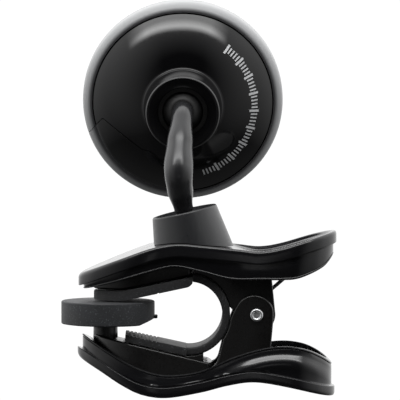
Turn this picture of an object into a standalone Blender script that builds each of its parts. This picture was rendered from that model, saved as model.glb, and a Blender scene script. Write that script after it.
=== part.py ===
"""Clip-on instrument tuner: a round head on a double ball stem, held by a sprung clip.

The origin is the middle of the round swivel pad's gripping face. +X runs from the jaws' noses to the
handles, +Z is up and +Y is the side that the display faces. Sizes below are in millimetres.
"""

import math

import bmesh
import bpy
from mathutils import Matrix, Vector

MM = 0.001
GAP = 0.3

# Clip
PIVOT = (33.2, -2.65)
LIP_HALF_WIDTH = 10.0
LIP_HEIGHT = 2.3
LIP_STEP = 0.7
WALL = 1.2
TOP_WALL = 1.5
NOSE_X = -6.8
NOSE_ROUND_X = 11.0
TAIL_ROUND_X = 41.3
TAIL_X = 51.0
EAR_OUTER_Y = 7.8
EAR_WALL = 1.3
RIVET_RADIUS = 0.9
RIVET_HEAD_RADIUS = 1.45

# Swivel pad
PAD_RADIUS = 10.45
PAD_THICKNESS = 5.2
PAD_BALL_RADIUS = 1.6
PAD_BALL_Z = -3.6
REST_GAP = 0.35

# Throat band between the jaws
BAND_CENTRE = (18.2, -2.7)
BAND_INNER_RADIUS = 7.35
BAND_THICKNESS = 1.75
BAND_HALF_WIDTH = 6.6
BAND_CRADLE_RADIUS = BAND_INNER_RADIUS + BAND_THICKNESS + GAP

# Stem, its two balls and their sockets
CLIP_BALL = Vector((17.95, 0.0, 16.2))
CLIP_BALL_RADIUS = 4.1
SOCKET_LEAN = math.radians(12.9)
SOCKET_RIM_RADIUS = 7.3
SOCKET_RIM_Z = 4.0
SOCKET_CONE = math.radians(10.0)
HEAD_BALL = Vector((16.7, 11.0, 42.1))
HEAD_BALL_RADIUS = 4.9
STEM_MIDDLE = Vector((15.75, -2.6, 31.5))
STEM_LEAN = Vector((-0.01, 0.435, 1.0)).normalized()
STEM_RADII = [(0.0, 2.0), (4.5, 2.15), (9.5, 2.9), (15.5, 3.3), (21.0, 2.9), (26.5, 2.4), (31.0, 2.2), (60.0, 2.2)]

# Head, measured along its axis from the ball's centre towards the display
HEAD_TILT = math.radians(7.8)
HEAD_RADIUS = 22.6
DOME_CENTRE = 31.4
DOME_RADIUS = 29.8
DOME_EDGE = 20.2
SHELL = 1.4
COLLAR_RIM = -4.3
COLLAR_RADIUS = 8.35
COLLAR_BASE_RADIUS = 8.94
SOCKET_BORE = 6.9
TUBE_END = 6.0
SEAM = 9.7
FRONT = 18.0
BEZEL_BORE = 20.5
LENS_RADIUS = 18.6
LENS_CHORD = -9.5
WINDOW_RADIUS = 15.0
WINDOW_CHORD = -8.3
DOOR_ANGLE = math.radians(-50.8)
DOOR_EDGE = 14.0
DOOR_HALF_WIDTH = 11.85
DOOR_FRONT = 13.2
BOARD_RADIUS = 20.1
BOARD_BACK = 11.2
BOARD_FRONT = 12.2
SCREW_RING = 16.6
SCREW_ANGLES = (20.0, 165.0, 245.0)
BUTTON_Y = -14.3
CELL_RADIUS = 10.0
CELL_BACK = 7.0
CELL_FRONT = 10.2

# Side lines of the jaws as (x, z), from nose to tail
UPPER_TOP = [(-9, 5.0), (-6.5, 6.2), (-2, 8.0), (2.8, 9.85), (9.5, 12.25), (15.2, 13.3), (21, 12.9), (29, 12.1),
             (34, 11.6), (39, 12.4), (46, 14.5), (50.6, 15.8), (53, 16.4)]
UPPER_EDGE = [(-9, 1.6), (-5, 2.8), (2.8, 4.9), (9.5, 6.9), (15, 8.0), (21, 6.85), (27.5, 5.25), (34, 5.2),
              (39, 5.2), (42.7, 5.6), (47.5, 7.6), (49.6, 9.4), (51.5, 12.2)]
LOWER_BOTTOM = [(-9, -10.8), (-6.2, -12.7), (-1.6, -15.4), (3, -18.3), (7.5, -20.4), (13, -21.1), (20.6, -19.9),
                (27, -18.3), (33, -17.6), (41, -18.9), (49, -20.9), (53, -21.6)]
LOWER_EDGE = [(-9, -5.2), (-4.6, -7.9), (0.5, -11.1), (5, -13.9), (9.5, -15.9), (14, -16.5), (20.6, -15.2),
              (27.5, -12.2), (34, -10.2), (39, -9.6), (43, -10.0), (46, -11.0), (49, -12.8), (52, -15.6)]


# ---------------------------------------------------------------- scene

def clear_scene():
    for obj in list(bpy.data.objects):
        bpy.data.objects.remove(obj, do_unlink=True)


def new_collection(name):
    collection = bpy.data.collections.new(name)
    bpy.context.scene.collection.children.link(collection)
    return collection


def plastic(name, colour, roughness, metallic=0.0):
    material = bpy.data.materials.new(name)
    material.use_nodes = True
    shader = material.node_tree.nodes["Principled BSDF"]
    shader.inputs["Base Color"].default_value = (*colour, 1.0)
    shader.inputs["Roughness"].default_value = roughness
    shader.inputs["Metallic"].default_value = metallic
    return material


clear_scene()
PARTS = new_collection("clip_on_tuner")
CUTTERS = new_collection("cutters")

GLOSS_BLACK = plastic("gloss_black_plastic", (0.010, 0.010, 0.011), 0.12)
SATIN_BLACK = plastic("satin_black_plastic", (0.022, 0.022, 0.024), 0.38)
DARK_FRAME = plastic("dark_frame_plastic", (0.016, 0.015, 0.015), 0.45)
RUBBER = plastic("black_rubber", (0.030, 0.031, 0.034), 0.75)
STEEL = plastic("bright_steel", (0.78, 0.78, 0.78), 0.22, 1.0)
SPRING_STEEL = plastic("dark_spring_steel", (0.10, 0.10, 0.11), 0.35, 1.0)
BRASS = plastic("brass", (0.72, 0.55, 0.26), 0.3, 1.0)
CLEAR = plastic("clear_window", (0.75, 0.78, 0.80), 0.05)
GLASS = plastic("display_glass", (0.10, 0.13, 0.12), 0.1)
WHITE = plastic("white_plastic", (0.80, 0.80, 0.78), 0.5)
BOARD_GREEN = plastic("board_green", (0.02, 0.16, 0.07), 0.45)


# ---------------------------------------------------------------- modelling helpers

def finish(obj, collection, material, parent, smooth=True):
    """Files a new object: its collection, material, parent and shading."""
    for other in list(obj.users_collection):
        other.objects.unlink(obj)
    collection.objects.link(obj)
    if material is not None:
        obj.data.materials.append(material)
    obj.parent = parent
    if smooth and obj.type == "MESH":
        obj.data.shade_smooth()
        obj.data.set_sharp_from_angle(angle=math.radians(35))
    if collection is CUTTERS:
        obj.hide_render = True
        obj.display_type = "WIRE"
    return obj


def mesh_object(name, mesh, material=None, parent=None, collection=None):
    return finish(bpy.data.objects.new(name, mesh), collection or PARTS, material, parent)


def turned(name, profile, material=None, parent=None, collection=None, steps=48, offset=(0, 0, 0)):
    """A turned shape: profile is (radius, z) down the outer side, in the parent's frame."""
    mesh = bpy.data.meshes.new(name)
    verts = [(r * MM, 0.0, z * MM) for r, z in profile]
    closed = profile[0][0] > 1e-6 or profile[-1][0] > 1e-6
    edges = [(i, i + 1) for i in range(len(verts) - 1)]
    if closed:
        edges.append((len(verts) - 1, 0))
    mesh.from_pydata(verts, edges, [])
    obj = bpy.data.objects.new(name, mesh)
    obj.location = Vector(offset) * MM
    screw = obj.modifiers.new("turn", "SCREW")
    screw.steps = steps
    screw.render_steps = steps
    screw.use_merge_vertices = True
    screw.merge_threshold = 0.00001
    finish(obj, collection or PARTS, material, parent, smooth=False)
    return obj


def curve_to_mesh(curve_object, name):
    """The mesh of a curve object, its caps welded."""
    depsgraph = bpy.context.evaluated_depsgraph_get()
    mesh = bpy.data.meshes.new_from_object(curve_object.evaluated_get(depsgraph))
    mesh.name = name
    shape = bmesh.new()
    shape.from_mesh(mesh)
    bmesh.ops.remove_doubles(shape, verts=shape.verts, dist=0.000002)
    bmesh.ops.recalc_face_normals(shape, faces=shape.faces)
    shape.to_mesh(mesh)
    shape.free()
    mesh.transform(curve_object.matrix_world)
    bpy.data.objects.remove(curve_object, do_unlink=True)
    return mesh


def flat_outline(name, points, half_depth):
    curve = bpy.data.curves.new(name, "CURVE")
    curve.dimensions = "2D"
    curve.fill_mode = "BOTH"
    curve.extrude = half_depth * MM
    spline = curve.splines.new("POLY")
    spline.points.add(len(points) - 1)
    for point, (x, y) in zip(spline.points, points):
        point.co = (x * MM, y * MM, 0.0, 1.0)
    spline.use_cyclic_u = True
    obj = bpy.data.objects.new(name + "_curve", curve)
    bpy.context.scene.collection.objects.link(obj)
    return obj


def side_prism(name, points, low_y, high_y, material=None, collection=None):
    """An outline in X and Z, extruded from low_y to high_y."""
    obj = flat_outline(name, points, (high_y - low_y) / 2)
    obj.rotation_euler = (math.radians(90), 0, 0)
    obj.location = (0, (low_y + high_y) / 2 * MM, 0)
    bpy.context.view_layer.update()
    return mesh_object(name, curve_to_mesh(obj, name), material, None, collection)


def plan_prism(name, points, low_z, high_z, material=None, parent=None, collection=None):
    """An outline in X and Y, extruded from low_z to high_z, in the parent's frame."""
    obj = flat_outline(name, points, (high_z - low_z) / 2)
    obj.location = (0, 0, (low_z + high_z) / 2 * MM)
    bpy.context.view_layer.update()
    return mesh_object(name, curve_to_mesh(obj, name), material, parent, collection)


def box(name, low, high, material=None, parent=None, collection=None):
    mesh = bpy.data.meshes.new(name)
    shape = bmesh.new()
    bmesh.ops.create_cube(shape, size=1.0)
    size = [(b - a) * MM for a, b in zip(low, high)]
    middle = [(a + b) / 2 * MM for a, b in zip(low, high)]
    bmesh.ops.scale(shape, vec=size, verts=shape.verts)
    bmesh.ops.translate(shape, vec=middle, verts=shape.verts)
    shape.to_mesh(mesh)
    shape.free()
    return mesh_object(name, mesh, material, parent, collection)


def cutter(function, name, *args, **keywords):
    return function("cut_" + name, *args, collection=CUTTERS, **keywords)


def combine(target, other, operation="DIFFERENCE"):
    modifier = target.modifiers.new(operation.lower(), "BOOLEAN")
    modifier.operation = operation
    modifier.solver = "EXACT"
    modifier.object = other


def empty(name, location, rotation):
    obj = bpy.data.objects.new(name, None)
    obj.location = location * MM
    obj.rotation_euler = rotation.to_euler()
    PARTS.objects.link(obj)
    return obj


# ---------------------------------------------------------------- outlines

def arc(centre, radius, start, end, count):
    """Points on an arc, angles in degrees."""
    angles = [math.radians(start + (end - start) * i / count) for i in range(count + 1)]
    return [(centre[0] + radius * math.cos(a), centre[1] + radius * math.sin(a)) for a in angles]


def smooth_line(points, per_segment=3):
    """A Catmull-Rom line through the points."""
    padded = [points[0]] + list(points) + [points[-1]]
    line = []
    for p0, p1, p2, p3 in zip(padded, padded[1:], padded[2:], padded[3:]):
        for i in range(per_segment):
            t = i / per_segment
            weights = (-t + 2 * t**2 - t**3, 2 - 5 * t**2 + 3 * t**3, t + 4 * t**2 - 3 * t**3, t**3 - t**2)
            line.append(tuple(sum(w * p[k] for w, p in zip(weights, (p0, p1, p2, p3))) / 2 for k in (0, 1)))
    return line + [tuple(points[-1])]


def offset_line(line, distance):
    """The line moved to its left (positive) or right."""
    moved = []
    for i, point in enumerate(line):
        before, after = line[max(i - 1, 0)], line[min(i + 1, len(line) - 1)]
        dx, dz = after[0] - before[0], after[1] - before[1]
        length = math.hypot(dx, dz)
        moved.append((point[0] - dz / length * distance, point[1] + dx / length * distance))
    return moved


def band(first, second):
    """The outline between two lines that run the same way."""
    return list(first) + list(reversed(second))


def height_at(line, x):
    for (x0, z0), (x1, z1) in zip(line, line[1:]):
        if x0 <= x <= x1:
            return z0 + (z1 - z0) * (x - x0) / (x1 - x0)
    raise ValueError("x is outside the line")


def jaw_plan(inset):
    """Half-ellipse nose and tail joined by straight sides."""
    half = LIP_HALF_WIDTH - inset
    nose, tail = NOSE_X + inset * 1.6, TAIL_X - inset
    front = [(NOSE_ROUND_X - (NOSE_ROUND_X - nose) * math.sin(a), half * math.cos(a)) for a in turn_steps(12)]
    back = [(TAIL_ROUND_X + (tail - TAIL_ROUND_X) * math.sin(a), -half * math.cos(a)) for a in turn_steps(12)]
    return front + back


def turn_steps(count):
    return [math.pi * i / count for i in range(count + 1)]


def sphere_profile(centre_z, radius, start_z, end_z, count=8):
    """(radius, z) points on a sphere between two heights, even in angle."""
    start = math.acos(max(-1.0, min(1.0, (start_z - centre_z) / radius)))
    end = math.acos(max(-1.0, min(1.0, (end_z - centre_z) / radius)))
    angles = [start + (end - start) * i / count for i in range(count + 1)]
    return [(max(0.0, radius * math.sin(a)), centre_z + radius * math.cos(a)) for a in angles]


# ---------------------------------------------------------------- clip

def jaw_shell(name, outer, edge, inward):
    """A tray with a lip along its outer face. inward is -1 where the hollow is below the outer line."""
    wall = side_prism(name, band(outer, edge), -15, 15, GLOSS_BLACK)
    combine(wall, cutter(plan_prism, name + "_plan", jaw_plan(LIP_STEP), -40, 40), "INTERSECT")
    lip = cutter(side_prism, name + "_lip", band(outer, offset_line(outer, LIP_HEIGHT * inward)), -15, 15)
    combine(lip, cutter(plan_prism, name + "_lip_plan", jaw_plan(0.0), -40, 40), "INTERSECT")
    combine(wall, lip, "UNION")
    inner = offset_line(outer, TOP_WALL * inward)
    beyond = [(x, z + 25 * inward) for x, z in inner]
    hollow = cutter(side_prism, name + "_hollow", band(inner, beyond), -15, 15)
    combine(hollow, cutter(plan_prism, name + "_inner", jaw_plan(LIP_STEP + WALL), -60, 60), "INTERSECT")
    combine(wall, hollow)
    return wall


def clip_shells():
    upper = jaw_shell("upper_jaw_shell", smooth_line(UPPER_TOP), smooth_line(UPPER_EDGE), -1)
    combine(upper, cutter(turned, "socket_hole", [(0, 8), (7.3, 8), (7.3, -12), (0, -12)], parent=SOCKET))
    jaw_shell("lower_jaw_shell", smooth_line(LOWER_BOTTOM), smooth_line(LOWER_EDGE), 1)


def ear_hole(target, name):
    hole = cutter(turned, name, [(0, 12), (RIVET_RADIUS + GAP, 12), (RIVET_RADIUS + GAP, -12), (0, -12)],
                  steps=24, parent=PIN)
    combine(target, hole)


PAD_SLOPE = math.tan(math.radians(12.0))
UPPER_LAND = (-3.1, 3.2)
UPPER_PAD_END = 18.95
UPPER_PAD_THICKNESS = 2.1
LOWER_PAD_START = (3.9, -7.1)
LOWER_PAD_END = (17.5, -10.05)
WEB_START = (-3.4, -7.2)
WEB_END = (23.6, -13.6)


def web_top(x):
    """Height of the lower frame's sloping floor."""
    (x0, z0), (x1, z1) = WEB_START, WEB_END
    return z0 + (z1 - z0) * (x - x0) / (x1 - x0)


def upper_grip_line(drop):
    """The upper pad's gripping line, moved up by drop."""
    rise = (UPPER_PAD_END - UPPER_LAND[1]) * PAD_SLOPE
    base = REST_GAP + drop
    return [(UPPER_LAND[0], base), (UPPER_LAND[1], base), (UPPER_PAD_END, base + rise)]


def round_nose(target, wall=0.0):
    """Trims a piece, or the pocket inside one, to the shells' inner plan."""
    inset = LIP_STEP + WALL + GAP + wall
    combine(target, cutter(plan_prism, target.name + "_nose", jaw_plan(inset), -60, 60), "INTERSECT")


def upper_frame():
    """Moulded channel under the upper shell: a floor for the pad and two ears on the pivot."""
    floor = upper_grip_line(UPPER_PAD_THICKNESS + GAP)
    edge = smooth_line(UPPER_EDGE)
    under = [(x, height_at(edge, x) + 0.3) for x in (35, 30, 26, 21, 15, 9.5, 5, 0.5, -3.1)]
    throat = arc(BAND_CENTRE, BAND_CRADLE_RADIUS, 84, 12, 10)
    ear = throat + arc(PIVOT, 4.2, 185, 370, 14) + [(36.6, 3.4)]
    frame = side_prism("upper_jaw_frame", floor + ear + under, -6.2, 6.2, DARK_FRAME)
    round_nose(frame)
    inner_floor = [(x, z + 1.5) for x, z in floor[1:]]
    pocket = [(-2, inner_floor[0][1])] + inner_floor + [(20.6, -9), (40, -9), (40, 16), (-2, 16)]
    hollow = cutter(side_prism, "upper_pocket", pocket, -4.7, 4.7)
    round_nose(hollow, 1.5)
    combine(frame, hollow)
    ear_hole(frame, "upper_ear_hole")


def lower_frame():
    """Moulded channel in the lower shell: a sloping floor for the pad and two ears outside the upper ones."""
    floor_line = offset_line(smooth_line(LOWER_BOTTOM), TOP_WALL + GAP)
    bottom = [(x, height_at(floor_line, x)) for x in (36.4, 31, 26, 20.6, 16, 12, 8, 5, 2, -0.6)]
    crown = arc((32.7, PIVOT[1]), 4.4, 150, 20, 10)
    ear = [(24.4, -13.2)] + arc(BAND_CENTRE, BAND_CRADLE_RADIUS, -36, -6, 5) + [(27.95, -2.2)] + crown
    ear += [(37.0, -2.4), (36.8, -5.5), (36.4, -9.6)]
    cradle = arc(BAND_CENTRE, BAND_CRADLE_RADIUS, -91, -72, 4)
    cradle += [(cradle[-1][0] + 0.2, web_top(cradle[-1][0] + 0.2))]
    outline = [WEB_START, (cradle[0][0] - 0.2, web_top(cradle[0][0] - 0.2))] + cradle + [WEB_END] + ear + bottom
    frame = side_prism("lower_jaw_frame", outline, -EAR_OUTER_Y, EAR_OUTER_Y, DARK_FRAME)
    round_nose(frame)
    inner = EAR_OUTER_Y - EAR_WALL
    under = [(x, web_top(x) - 1.5) for x in (-2, 21.9)]
    pocket = under + [(22.0, 6), (40, 6), (40, -25), (-2, -25)]
    hollow = cutter(side_prism, "lower_pocket", pocket, -inner, inner)
    round_nose(hollow, EAR_WALL)
    combine(frame, hollow)
    ear_hole(frame, "lower_ear_hole")


def upper_pad():
    """Rubber strip with a groove that parts its gripping face."""
    bottom, top = upper_grip_line(0.0), upper_grip_line(UPPER_PAD_THICKNESS)
    groove_x = (10.9, 11.6)
    groove = [(x, bottom[1][1] + (x - bottom[1][0]) * PAD_SLOPE) for x in groove_x]
    notch = [groove[0], (groove[0][0], groove[0][1] + 0.6), (groove[1][0], groove[1][1] + 0.6), groove[1]]
    outline = bottom[:2] + notch + [bottom[2]] + list(reversed(top))
    round_nose(side_prism("upper_pad", outline, -7.4, 7.4, RUBBER))


def lower_pad():
    """Rubber strip with cross ribs at its front half."""
    (x0, z0), (x1, z1) = LOWER_PAD_START, LOWER_PAD_END
    slope = (z1 - z0) / (x1 - x0)
    top = [(x0, z0)]
    for i in range(5):
        left = x0 + 0.9 + i * 1.35
        z = z0 + slope * (left - x0)
        top += [(left, z), (left + 0.1, z - 0.45), (left + 0.55, z - 0.55), (left + 0.65, z + slope * 0.65)]
    outline = top + [(x1, z1), (x1, web_top(x1) + GAP), (x0, web_top(x0) + GAP)]
    round_nose(side_prism("lower_pad", outline, -7.4, 7.4, RUBBER))


def band_angle(radius, x):
    """The angle in degrees at which a circle of the band reaches x."""
    return math.degrees(math.acos((x - BAND_CENTRE[0]) / radius))


def throat_band():
    """C-shaped rubber band that keeps the instrument off the pivot."""
    outer = BAND_INNER_RADIUS + BAND_THICKNESS
    low_x, high_x = LOWER_PAD_END[0] + GAP, UPPER_PAD_END + GAP
    c_shape = arc(BAND_CENTRE, outer, -band_angle(outer, low_x), band_angle(outer, high_x), 24)
    c_shape += arc(BAND_CENTRE, BAND_INNER_RADIUS, band_angle(BAND_INNER_RADIUS, high_x),
                   -band_angle(BAND_INNER_RADIUS, low_x), 24)
    side_prism("throat_band", c_shape, -BAND_HALF_WIDTH, BAND_HALF_WIDTH, RUBBER)


def pivot_rivet():
    """Tubular rivet through all four ears."""
    end, head = EAR_OUTER_Y + 0.75, EAR_OUTER_Y + 0.2
    dimple = [(0, end - 0.25), (0.55, end - 0.2), (0.8, end)]
    rim = [(1.25, end), (RIVET_HEAD_RADIUS, end - 0.2), (RIVET_HEAD_RADIUS, head), (RIVET_RADIUS, head)]
    half = dimple + rim
    turned("pivot_rivet", half + [(r, -z) for r, z in reversed(half)], STEEL, PIN, steps=24)


def torsion_spring():
    """Coil round the rivet with one leg under each handle."""
    coil_radius, turns, half_width = 2.75, 4.25, 2.7
    steps = 12
    start, end = math.radians(-20), math.radians(-20) + turns * 2 * math.pi
    points = []
    count = int(turns * steps)
    for i in range(count + 1):
        angle = start + (end - start) * i / count
        y = -half_width + 2 * half_width * i / count
        points.append((PIVOT[0] + coil_radius * math.cos(angle), y, PIVOT[1] + coil_radius * math.sin(angle)))
    lower_leg = [(36.0, -half_width, -11.0), (37.6, -half_width, -14.6), (44.0, -half_width, -16.0)]
    upper_leg = [(36.4, half_width, 2.2), (39.2, half_width, 4.6), (44.0, half_width, 9.4), (46.4, half_width, 12.0)]
    route = list(reversed(lower_leg)) + points + upper_leg
    curve = bpy.data.curves.new("torsion_spring", "CURVE")
    curve.dimensions = "3D"
    curve.bevel_depth = 0.42 * MM
    curve.bevel_resolution = 2
    curve.use_fill_caps = True
    spline = curve.splines.new("POLY")
    spline.points.add(len(route) - 1)
    for point, place in zip(spline.points, route):
        point.co = (*[v * MM for v in place], 1.0)
    obj = bpy.data.objects.new("torsion_spring", curve)
    finish(obj, PARTS, SPRING_STEEL, None)


def swivel_pad():
    """Round rubber pad, its plate with the ball socket, and the ball stud on the lower jaw."""
    low = -PAD_THICKNESS
    rubber = [(0, 0), (9.9, 0), (10.3, -0.15), (PAD_RADIUS, -0.55), (PAD_RADIUS, low + 0.5), (10.1, low + 0.1),
              (9.9, low + 0.1), (9.9, low + 1.2), (3.7, low + 1.2), (3.7, -0.8), (0, -0.8)]
    pad = turned("swivel_pad", rubber, RUBBER, steps=48)
    chamfer = [(6.9, low - 1), (12, low - 1), (12, low + 2.0), (6.9, low + 0.05)]
    combine(pad, cutter(side_prism, "pad_chamfer", chamfer, -12, 12))
    combine(pad, cutter(box, "pad_tab", (9.6, -1.6, -3.9), (11.1, 1.6, -3.2)), "UNION")
    socket = sphere_profile(PAD_BALL_Z, PAD_BALL_RADIUS + GAP, -4.8, PAD_BALL_Z + PAD_BALL_RADIUS + GAP, 6)
    base = [(0, -1.1), (3.35, -1.1), (3.35, low + 0.9), (9.55, low + 0.9), (9.55, low), (2.1, low)] + socket
    plate = turned("swivel_pad_base", base, DARK_FRAME, steps=32)
    combine(plate, cutter(side_prism, "base_chamfer", [(6.6, low - 1), (12, low - 1), (12, 1), (6.6, 1)], -12, 12))
    neck = 0.85
    ball = sphere_profile(PAD_BALL_Z, PAD_BALL_RADIUS, PAD_BALL_Z + PAD_BALL_RADIUS, -4.9, 8)
    stud = ball + [(neck, -5.7), (2.5, -5.9), (2.65, -8.6), (0, -8.6)]
    post = turned("pad_post", stud, DARK_FRAME, steps=24)
    above = [(x, web_top(x) + GAP) for x in (-8, 12)]
    combine(post, cutter(side_prism, "post_foot", above + [(12, -14), (-8, -14)], -8, 8))


def clip_socket():
    """Conical boss that holds the lower ball cup, and its tube through the upper shell."""
    foot = -7.4
    base_radius = SOCKET_RIM_RADIUS + (SOCKET_RIM_Z - 0.3 - foot) * math.tan(SOCKET_CONE)
    outer = [(SOCKET_RIM_RADIUS - 0.25, SOCKET_RIM_Z), (SOCKET_RIM_RADIUS, SOCKET_RIM_Z - 0.3), (base_radius, foot)]
    inner = [(6.0, foot), (6.0, 2.4), (4.5, 2.4), (4.5, 3.0), (6.5, SOCKET_RIM_Z)]
    boss = turned("clip_socket", outer + inner, SATIN_BLACK, SOCKET, steps=40)
    top = offset_line(smooth_line(UPPER_TOP), GAP)
    combine(boss, cutter(side_prism, "jaw_clearance", band(top, [(x, z - 20) for x, z in top]), -15, 15))
    tube = [(6.95, 0.5), (6.95, -5.3), (6.0, -5.3), (6.0, 0.5)]
    combine(boss, cutter(turned, "socket_tube", tube, parent=SOCKET, steps=40), "UNION")


def ball_cup(name, parent, ball_radius, outer_radius, front, back, flip):
    """Open cup round a ball. Its mouth is narrower than the ball. flip puts the mouth at low z."""
    bore = ball_radius + GAP
    mouth = math.sqrt(bore**2 - front**2)
    ring = sphere_profile(0.0, bore, -bore, front, 7)
    profile = ring + [(mouth + 0.25, front), (outer_radius, front), (outer_radius, -back), (0, -back)]
    if flip:
        profile = [(r, -z) for r, z in reversed(profile)]
    turned(name, profile, DARK_FRAME, parent, steps=32)


# ---------------------------------------------------------------- stem

def bezier(p0, p1, p2, p3, count):
    points = []
    for i in range(count):
        t = i / count
        a, b, c, d = (1 - t) ** 3, 3 * t * (1 - t) ** 2, 3 * t**2 * (1 - t), t**3
        points.append(a * p0 + b * p1 + c * p2 + d * p3)
    return points


def stem_radius(distance):
    for (s0, r0), (s1, r1) in zip(STEM_RADII, STEM_RADII[1:]):
        if distance <= s1:
            t = (distance - s0) / (s1 - s0)
            return r0 + (r1 - r0) * t * t * (3 - 2 * t)
    return STEM_RADII[-1][1]


def stem_arm():
    """One curved arm: a ball, a stem that swells at its middle, an elbow and the head's ball."""
    lean = Vector((-math.sin(SOCKET_LEAN), 0, math.cos(SOCKET_LEAN)))
    ahead = Vector((0, 1, 0))
    start, end = CLIP_BALL + lean * 5.0, HEAD_BALL - ahead * 5.5
    ends = {0: (CLIP_BALL, lean, CLIP_BALL_RADIUS), 1: (HEAD_BALL, ahead, HEAD_BALL_RADIUS)}
    ball_steps = [-1.0 + 0.02, -0.9, -0.75, -0.5, -0.25, 0.0, 0.25, 0.5, 0.75]
    first = [ends[0][0] + lean * (t * CLIP_BALL_RADIUS) for t in ball_steps]
    last = [ends[1][0] + ahead * (-t * HEAD_BALL_RADIUS) for t in reversed(ball_steps)]
    body = bezier(start, start + lean * 3.8 - ahead * 0.8, STEM_MIDDLE - STEM_LEAN * 4.0, STEM_MIDDLE, 8)
    body += bezier(STEM_MIDDLE, STEM_MIDDLE + STEM_LEAN * 4.1, end - ahead * 3.0, end, 14) + [end]
    route = first + body + last
    curve = bpy.data.curves.new("stem_arm", "CURVE")
    curve.dimensions = "3D"
    curve.bevel_depth = MM
    curve.bevel_resolution = 6
    curve.use_fill_caps = True
    spline = curve.splines.new("POLY")
    spline.points.add(len(route) - 1)
    travelled = -CLIP_BALL_RADIUS
    previous = route[0]
    for point, place in zip(spline.points, route):
        travelled += (place - previous).length
        previous = place
        radius = stem_radius(max(travelled, 0.0))
        for centre, _, ball in ends.values():
            reach = (place - centre).length
            if reach < ball:
                radius = max(math.sqrt(ball**2 - reach**2), 0.0 if point_is_tip(place, centre, ball) else radius)
        point.co = (*(place * MM), 1.0)
        point.radius = radius
    obj = bpy.data.objects.new("stem_arm", curve)
    finish(obj, PARTS, SATIN_BLACK, None)


def point_is_tip(place, centre, ball):
    """Is this point on the far side of its ball, away from the arm?"""
    outward = {True: -Vector((-math.sin(SOCKET_LEAN), 0, math.cos(SOCKET_LEAN))), False: Vector((0, 1, 0))}
    side = outward[centre is CLIP_BALL]
    return (place - centre).dot(side) > 0


# ---------------------------------------------------------------- head

def dome(radius_offset, start_r, end_r, count):
    """(radius, z) on the domed back, from start_r to end_r."""
    sphere = DOME_RADIUS - radius_offset
    radii = [start_r + (end_r - start_r) * i / count for i in range(count + 1)]
    return [(r, DOME_CENTRE - math.sqrt(sphere**2 - r**2)) for r in radii]


def rim_curve(start_r, start_z, end_r, end_z, count=6):
    """Quarter ellipse from the seam out to the widest line."""
    steps = [math.pi / 2 * i / count for i in range(count + 1)]
    return [(start_r + (end_r - start_r) * math.sin(a), end_z + (start_z - end_z) * math.cos(a)) for a in steps]


def door_region(name, inner_edge, half_width, low, high):
    """The sector that the battery door fills, with a thumb tab on its inner edge."""
    tab = arc((inner_edge + 2.6, -1.8), 3.9, 220, 140, 6)
    outline = [(40, -half_width), (inner_edge + 0.5, -half_width), (inner_edge, -half_width + 0.5)] + tab
    outline += [(inner_edge, half_width - 0.5), (inner_edge + 0.5, half_width), (40, half_width)]
    outline = list(reversed(outline))
    return cutter(plan_prism, name, [(x, y) for x, y in outline], low, high, parent=DOOR)


def rear_housing():
    """Domed back with the socket collar and the tube that the ball cup turns in."""
    rim = COLLAR_RIM
    outer = [(DOME_EDGE, 10.9)] + dome(0.0, DOME_EDGE, COLLAR_BASE_RADIUS, 7)
    collar = [(COLLAR_RADIUS, rim + 0.35), (COLLAR_RADIUS - 0.3, rim), (COLLAR_RADIUS - 0.6, rim + 0.05)]
    mouth = [(5.5, rim + 1.0), (5.5, rim + 1.6), (SOCKET_BORE, rim + 1.6), (SOCKET_BORE, TUBE_END), (8.1, TUBE_END)]
    inner = dome(SHELL, 8.1, 18.7, 5) + [(18.7, 10.9)]
    housing = turned("rear_housing", outer + collar + mouth + inner, GLOSS_BLACK, HEAD, steps=56)
    combine(housing, door_region("housing_door", DOOR_EDGE - GAP, DOOR_HALF_WIDTH + GAP, 0, 30))


def segment_outline(radius, chord):
    """A circle cut off below the chord."""
    start = math.degrees(math.asin(chord / radius))
    return arc((0, 0), radius, start, 180 - start, 40)


def front_bezel():
    """Rounded rim and front plate, with the lens seat, the button's hole and the board's posts."""
    widest = [(HEAD_RADIUS, 12.3), (HEAD_RADIUS, 15.6), (22.3, 16.8), (21.6, 17.6), (20.6, FRONT)]
    outer = [(0, FRONT)] + list(reversed(widest)) + list(reversed(rim_curve(20.55, SEAM, HEAD_RADIUS, 12.3)))[1:]
    inner = [(BEZEL_BORE, SEAM + 0.1), (BEZEL_BORE, 15.5), (0, 15.5)]
    bezel = turned("front_bezel", outer + inner, GLOSS_BLACK, HEAD, steps=56)
    for i, angle in enumerate(SCREW_ANGLES):
        place = ring_place(SCREW_RING, angle)
        post = [(1.5, 15.7), (1.5, BOARD_FRONT + GAP), (1.05, BOARD_FRONT + GAP), (1.05, 15.7)]
        combine(bezel, cutter(turned, f"post_{i}", post, parent=HEAD, steps=16, offset=place), "UNION")
    seat = segment_outline(LENS_RADIUS + GAP, LENS_CHORD - GAP)
    combine(bezel, cutter(plan_prism, "lens_seat", seat, 16.1, 19, parent=HEAD))
    window = segment_outline(WINDOW_RADIUS, WINDOW_CHORD)
    combine(bezel, cutter(plan_prism, "window", window, 14, 17, parent=HEAD))
    hole = [(0, 20), (3.3, 20), (3.3, 14), (0, 14)]
    combine(bezel, cutter(turned, "button_hole", hole, parent=HEAD, steps=32, offset=(0, BUTTON_Y, 0)))
    sector = door_region("bezel_door", DOOR_EDGE - GAP, DOOR_HALF_WIDTH + GAP, 0, DOOR_FRONT + GAP)
    combine(bezel, sector)


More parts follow.
